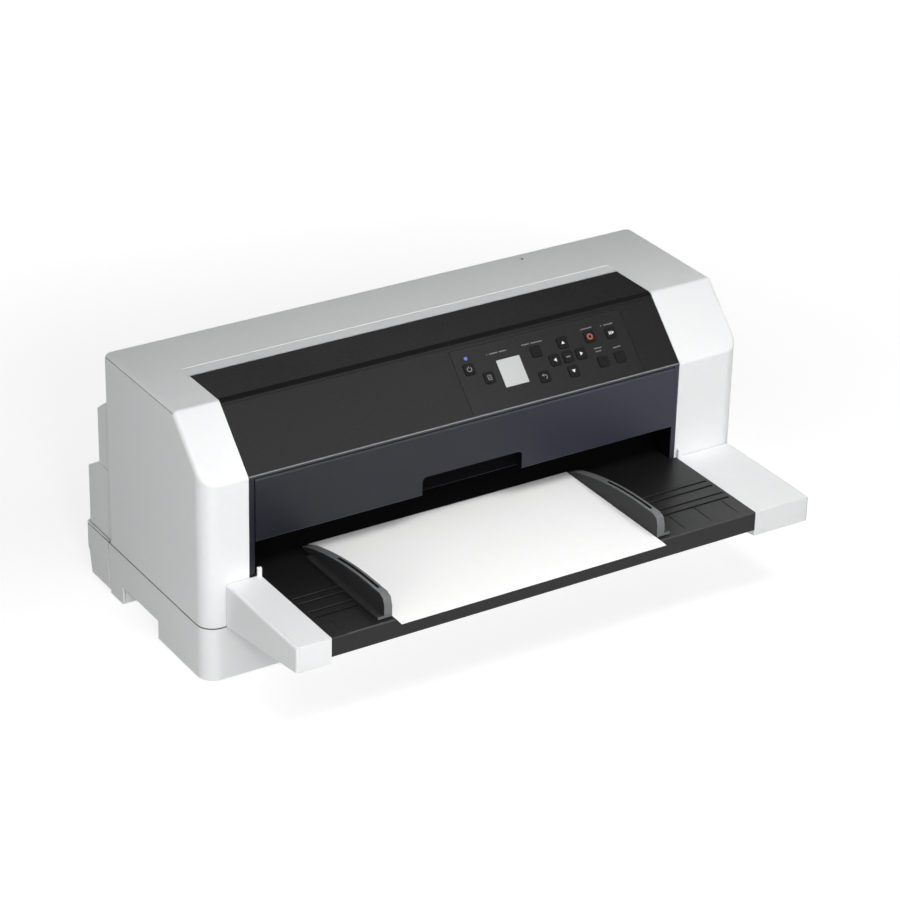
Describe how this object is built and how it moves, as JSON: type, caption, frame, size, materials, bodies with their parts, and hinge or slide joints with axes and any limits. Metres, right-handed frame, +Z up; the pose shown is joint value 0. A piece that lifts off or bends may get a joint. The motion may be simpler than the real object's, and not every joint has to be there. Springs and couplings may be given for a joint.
{
  "type": "dot matrix printer",
  "caption": "Wide flatbed dot matrix printer with a white case, black sloped control panel, hinged front cover and a front paper table with sliding edge guides.",
  "frame": {"origin": "on the resting plane, under the middle of the printer's bounding box, the loaded sheet included", "axes": "+X along the width, to the right seen from the front; +Y to the back; +Z up"},
  "size_m": [0.639, 0.416, 0.2775],
  "materials": {
    "case_white": "fine satin white moulding",
    "panel_black": "fine matte charcoal moulding",
    "cover_gloss": "dark bluish smoked plastic",
    "frame_black": "black moulding",
    "table_black": "black moulding with a soft gloss",
    "guide_grey": "dark grey moulding",
    "button_black": "black key caps",
    "button_orange": "lit orange key cap",
    "display": "pale grey display",
    "light_blue": "blue lamp",
    "trim_silver": "silver trim",
    "paper": "plain white sheet",
    "rubber": "black rubber",
    "steel": "plated steel",
    "head_metal": "cast head with fins",
    "motor_metal": "dark motor can",
    "mech_black": "black mechanism moulding",
    "gear_plastic": "natural gear plastic",
    "brass": "brass pinion",
    "board_green": "green circuit board",
    "board_brown": "brown circuit board"
  },
  "bodies": {
    "case": {"base_case": "case_white", "upper_case": "case_white", "rear_housing": "case_white", "top_panel": "panel_black", "trim_strip": "trim_silver", "control_panel": "panel_black", "panel_board": "board_green", "lcd_window": "display", "status_led": "light_blue", "opening_frame": "frame_black", "inner_paper_guide": "frame_black", "front_table": "table_black", "table_arm_left": "case_white", "table_arm_right": "case_white", "feet": "rubber", "chassis_plate": "steel", "chassis_screws": "steel", "side_plate_left": "steel", "side_plate_right": "steel", "platen": "mech_black", "feed_motor": "motor_metal", "carriage_shaft": "steel", "carriage_rail": "steel", "ribbon_cartridge": "mech_black", "carriage_belt": "rubber", "carriage_motor": "motor_metal", "power_board": "board_brown", "main_board": "board_green", "ac_inlet": "mech_black"},
    "front_cover": {"front_cover": "cover_gloss"},
    "rear_cover": {"rear_cover": "case_white"},
    "edge_guide_left": {"edge_guide_left": "guide_grey"},
    "edge_guide_right": {"edge_guide_right": "guide_grey"},
    "paper_sheet": {"paper_sheet": "paper"},
    "power_button": {"power_button": "button_black"},
    "sheet_button": {"sheet_button": "button_black"},
    "source_button": {"source_button": "button_black"},
    "back_button": {"back_button": "button_black"},
    "up_button": {"up_button": "button_black"},
    "left_button": {"left_button": "button_black"},
    "ok_button": {"ok_button": "button_black"},
    "right_button": {"right_button": "button_black"},
    "down_button": {"down_button": "button_black"},
    "cancel_button": {"cancel_button": "button_orange"},
    "pause_button": {"pause_button": "button_black"},
    "tear_button": {"tear_button": "button_black"},
    "load_button": {"load_button": "button_black"},
    "carriage": {"print_carriage": "mech_black", "print_head": "head_metal"},
    "drive_pulley": {"drive_pulley": "brass"},
    "idler_pulley": {"idler_pulley": "gear_plastic"},
    "front_feed_roller": {"front_feed_roller": "rubber"},
    "rear_feed_roller": {"rear_feed_roller": "rubber"},
    "front_pinch_roller": {"front_pinch_roller": "rubber"},
    "rear_pinch_roller": {"rear_pinch_roller": "rubber"},
    "idler_gear": {"idler_gear": "gear_plastic"},
    "motor_pinion": {"motor_pinion": "brass"},
    "tractor_shaft": {"tractor_shaft": "steel"},
    "tractor_left": {"tractor_left": "gear_plastic"},
    "tractor_right": {"tractor_right": "gear_plastic"}
  },
  "joints": [
    {"name": "front_cover_hinge", "type": "hinge", "parent": "case", "child": "front_cover", "pos_m": [0, -0.053, 0.2115], "axis": [-1, 0, 0], "range_deg": [0, 95]},
    {"name": "rear_cover_hinge", "type": "hinge", "parent": "case", "child": "rear_cover", "pos_m": [0, 0.1571, 0.216], "axis": [1, 0, 0], "range_deg": [0, 80]},
    {"name": "edge_guide_left_slide", "type": "slide", "parent": "case", "child": "edge_guide_left", "axis": [-1, 0, 0], "range_m": [0, 0.049]},
    {"name": "edge_guide_right_slide", "type": "slide", "parent": "case", "child": "edge_guide_right", "axis": [1, 0, 0], "range_m": [0, 0.095]},
    {"name": "sheet_slide", "type": "slide", "parent": "case", "child": "paper_sheet", "axis": [0, -1, 0], "range_m": [0, 0.15]},
    {"name": "power_button_press", "type": "slide", "parent": "case", "child": "power_button", "axis": [0, 0.7071, -0.7071], "range_m": [0, 0.0006], "stiffness_N_per_m": 400},
    {"name": "sheet_button_press", "type": "slide", "parent": "case", "child": "sheet_button", "axis": [0, 0.7071, -0.7071], "range_m": [0, 0.0006], "stiffness_N_per_m": 400},
    {"name": "source_button_press", "type": "slide", "parent": "case", "child": "source_button", "axis": [0, 0.7071, -0.7071], "range_m": [0, 0.0006], "stiffness_N_per_m": 400},
    {"name": "back_button_press", "type": "slide", "parent": "case", "child": "back_button", "axis": [0, 0.7071, -0.7071], "range_m": [0, 0.0006], "stiffness_N_per_m": 400},
    {"name": "up_button_press", "type": "slide", "parent": "case", "child": "up_button", "axis": [0, 0.7071, -0.7071], "range_m": [0, 0.0006], "stiffness_N_per_m": 400},
    {"name": "left_button_press", "type": "slide", "parent": "case", "child": "left_button", "axis": [0, 0.7071, -0.7071], "range_m": [0, 0.0006], "stiffness_N_per_m": 400},
    {"name": "ok_button_press", "type": "slide", "parent": "case", "child": "ok_button", "axis": [0, 0.7071, -0.7071], "range_m": [0, 0.0006], "stiffness_N_per_m": 400},
    {"name": "right_button_press", "type": "slide", "parent": "case", "child": "right_button", "axis": [0, 0.7071, -0.7071], "range_m": [0, 0.0006], "stiffness_N_per_m": 400},
    {"name": "down_button_press", "type": "slide", "parent": "case", "child": "down_button", "axis": [0, 0.7071, -0.7071], "range_m": [0, 0.0006], "stiffness_N_per_m": 400},
    {"name": "cancel_button_press", "type": "slide", "parent": "case", "child": "cancel_button", "axis": [0, 0.7071, -0.7071], "range_m": [0, 0.0006], "stiffness_N_per_m": 400},
    {"name": "pause_button_press", "type": "slide", "parent": "case", "child": "pause_button", "axis": [0, 0.7071, -0.7071], "range_m": [0, 0.0006], "stiffness_N_per_m": 400},
    {"name": "tear_button_press", "type": "slide", "parent": "case", "child": "tear_button", "axis": [0, 0.7071, -0.7071], "range_m": [0, 0.0006], "stiffness_N_per_m": 400},
    {"name": "load_button_press", "type": "slide", "parent": "case", "child": "load_button", "axis": [0, 0.7071, -0.7071], "range_m": [0, 0.0006], "stiffness_N_per_m": 400},
    {"name": "carriage_slide", "type": "slide", "parent": "case", "child": "carriage", "axis": [1, 0, 0], "range_m": [-0.2, 0.2]},
    {"name": "drive_pulley_spin", "type": "hinge", "parent": "case", "child": "drive_pulley", "pos_m": [0.238, 0.098, 0.173], "axis": [0, 0, 1], "continuous": true},
    {"name": "idler_pulley_spin", "type": "hinge", "parent": "case", "child": "idler_pulley", "pos_m": [-0.262, 0.098, 0.173], "axis": [0, 0, 1], "continuous": true},
    {"name": "front_roller_turn", "type": "hinge", "parent": "case", "child": "front_feed_roller", "pos_m": [0, 0, 0.101], "axis": [1, 0, 0], "continuous": true},
    {"name": "rear_roller_turn", "type": "hinge", "parent": "case", "child": "rear_feed_roller", "pos_m": [0, 0.064, 0.101], "axis": [1, 0, 0], "continuous": true},
    {"name": "front_pinch_turn", "type": "hinge", "parent": "case", "child": "front_pinch_roller", "pos_m": [0, 0, 0.1162], "axis": [1, 0, 0], "continuous": true},
    {"name": "rear_pinch_turn", "type": "hinge", "parent": "case", "child": "rear_pinch_roller", "pos_m": [0, 0.064, 0.1162], "axis": [1, 0, 0], "continuous": true},
    {"name": "idler_gear_turn", "type": "hinge", "parent": "case", "child": "idler_gear", "pos_m": [0.27, 0.032, 0.101], "axis": [1, 0, 0], "continuous": true},
    {"name": "motor_pinion_turn", "type": "hinge", "parent": "case", "child": "motor_pinion", "pos_m": [0.27, 0.032, 0.079], "axis": [1, 0, 0], "continuous": true},
    {"name": "tractor_shaft_turn", "type": "hinge", "parent": "case", "child": "tractor_shaft", "pos_m": [0, 0.178, 0.1], "axis": [1, 0, 0], "continuous": true},
    {"name": "tractor_left_slide", "type": "slide", "parent": "case", "child": "tractor_left", "axis": [1, 0, 0], "range_m": [-0.04, 0.1]},
    {"name": "tractor_right_slide", "type": "slide", "parent": "case", "child": "tractor_right", "axis": [1, 0, 0], "range_m": [-0.1, 0.06]}
  ],
  "couplings": [
    {"joint": "drive_pulley_spin", "follows": "carriage_slide", "rad_per_m": 119.05},
    {"joint": "idler_pulley_spin", "follows": "carriage_slide", "rad_per_m": 119.05},
    {"joint": "rear_roller_turn", "follows": "front_roller_turn", "ratio": 1},
    {"joint": "idler_gear_turn", "follows": "front_roller_turn", "ratio": -1},
    {"joint": "motor_pinion_turn", "follows": "front_roller_turn", "ratio": 2.6667},
    {"joint": "front_pinch_turn", "follows": "front_roller_turn", "ratio": -1.3333},
    {"joint": "rear_pinch_turn", "follows": "front_roller_turn", "ratio": -1.3333},
    {"joint": "tractor_shaft_turn", "follows": "front_roller_turn", "ratio": 1}
  ]
}
